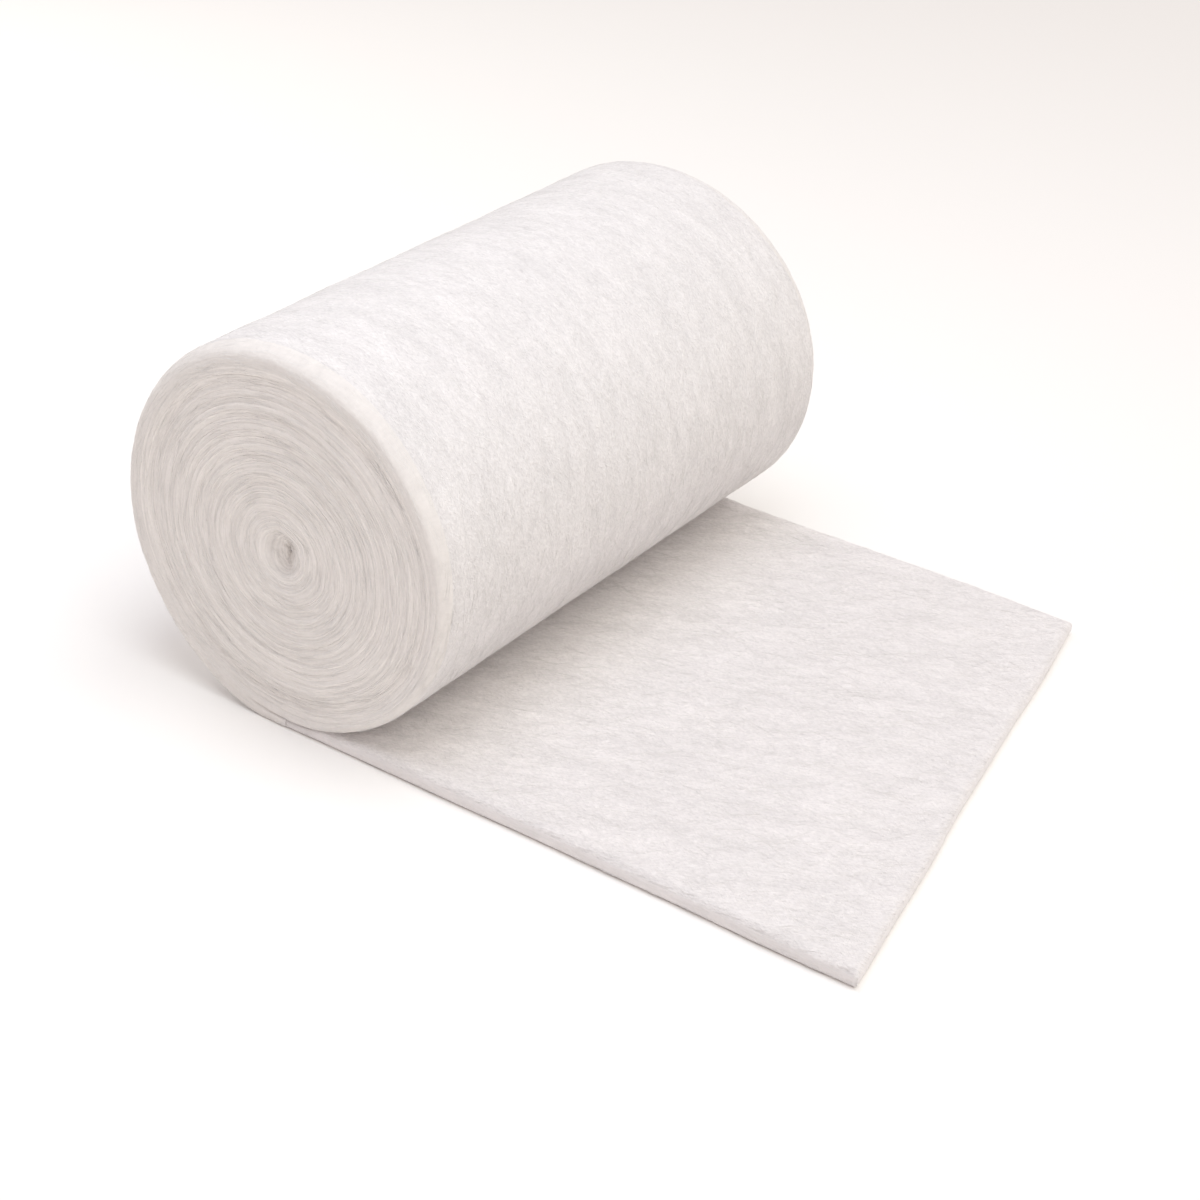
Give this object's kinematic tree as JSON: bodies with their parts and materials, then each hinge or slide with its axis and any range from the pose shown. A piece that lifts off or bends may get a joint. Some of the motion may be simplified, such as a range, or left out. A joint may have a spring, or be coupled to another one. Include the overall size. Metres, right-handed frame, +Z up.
{
  "type": "padding bandage roll",
  "caption": "Soft white wadding band wound into a roll that lies on its side, with its loose end laid out flat beside it.",
  "frame": {"origin": "on the surface that the roll lies on, under the middle of the footprint", "axes": "+X along the loose end, away from the roll; +Y along the roll's axis; +Z up"},
  "size_m": [0.1284, 0.1004, 0.061],
  "materials": {
    "wound_wadding": "soft matt",
    "loose_wadding": "soft matt"
  },
  "bodies": {
    "root": {"wound_roll": "wound_wadding", "loose_end": "loose_wadding"}
  },
  "joints": []
}
